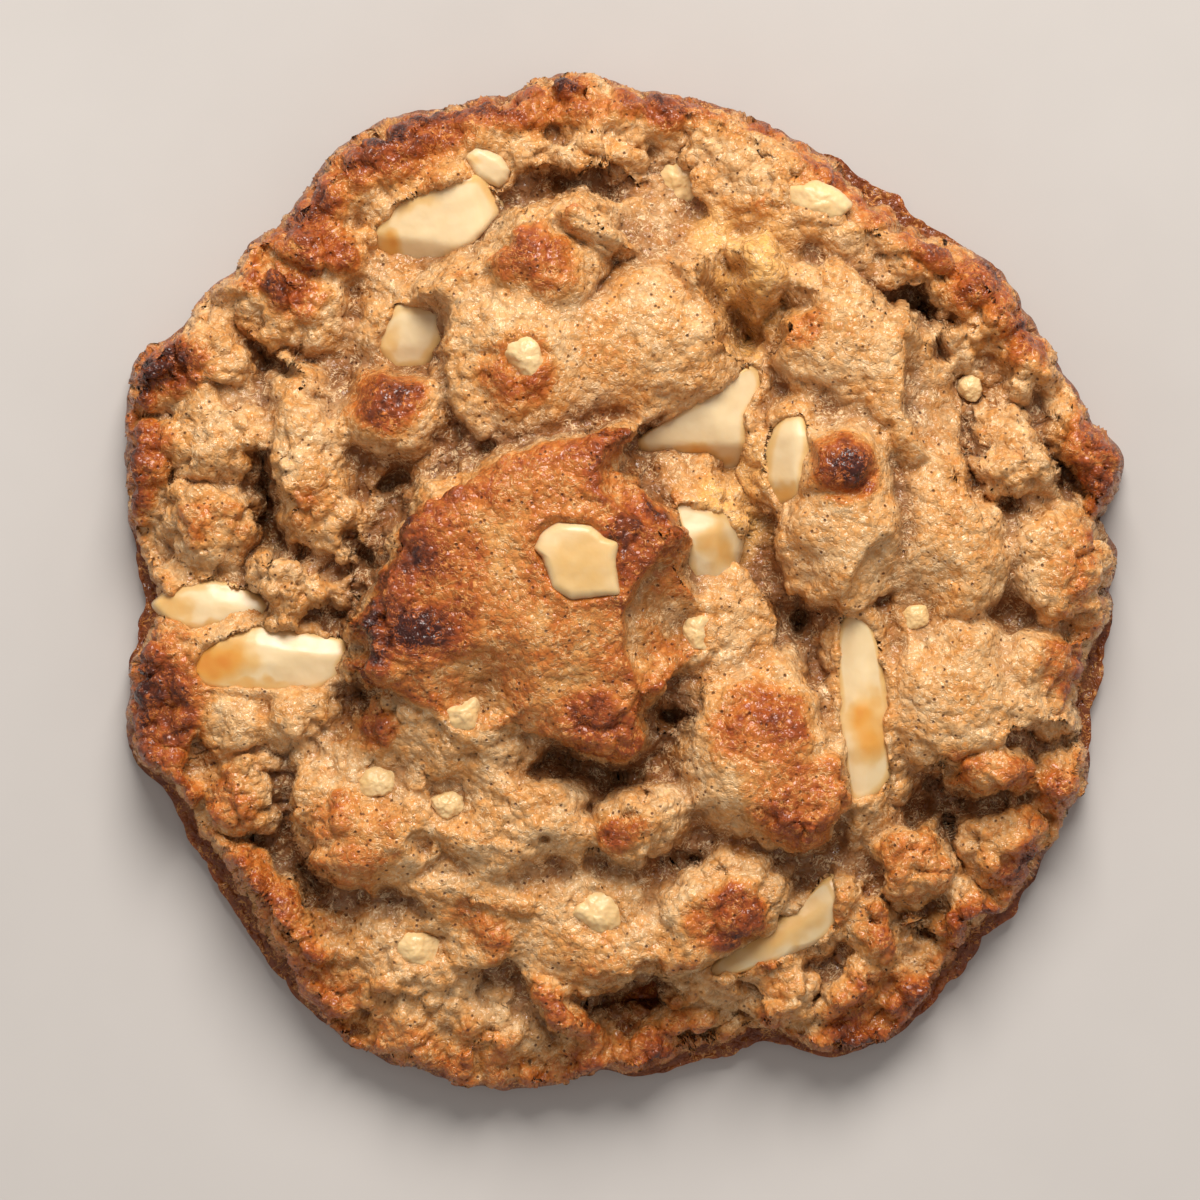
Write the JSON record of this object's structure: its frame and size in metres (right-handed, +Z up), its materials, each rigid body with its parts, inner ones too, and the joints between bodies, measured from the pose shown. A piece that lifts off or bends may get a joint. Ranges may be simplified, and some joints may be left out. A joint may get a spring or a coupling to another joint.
{
  "type": "white chocolate cookie",
  "caption": "Thick craggy drop cookie with broken white chocolate chunks and nut pieces set into a browned, cracked dough.",
  "frame": {"origin": "middle of the flat underside, at the centre of the outline's box", "axes": "+Z up through the cookie's thickness, +X to the right and +Y away from the viewer, seen from above"},
  "size_m": [0.1004, 0.1024, 0.0263],
  "materials": {
    "dough": "baked crumb, golden with toasted and burnt spots",
    "white_chocolate": "smooth, softly glossy",
    "nut": "matt, slightly oily"
  },
  "bodies": {
    "root": {"dough": "dough", "chocolate_upper_left": "white_chocolate", "chocolate_rim_chip": "white_chocolate", "chocolate_under_slab": "white_chocolate", "chocolate_centre_top": "white_chocolate", "chocolate_right_smear": "white_chocolate", "chocolate_centre_right": "white_chocolate", "chocolate_crown": "white_chocolate", "chocolate_left_upper": "white_chocolate", "chocolate_left_lower": "white_chocolate", "chocolate_right_lower": "white_chocolate", "chocolate_lower_right": "white_chocolate", "nut_slab": "nut", "nut_top": "nut", "nut_upper_right": "nut", "nut_shelf": "nut", "nut_lower_left": "nut", "nut_crown_edge": "nut", "nut_crown_right": "nut", "nut_right": "nut", "nut_far_right": "nut", "nut_swirl": "nut", "nut_shelf_left": "nut"}
  },
  "joints": []
}
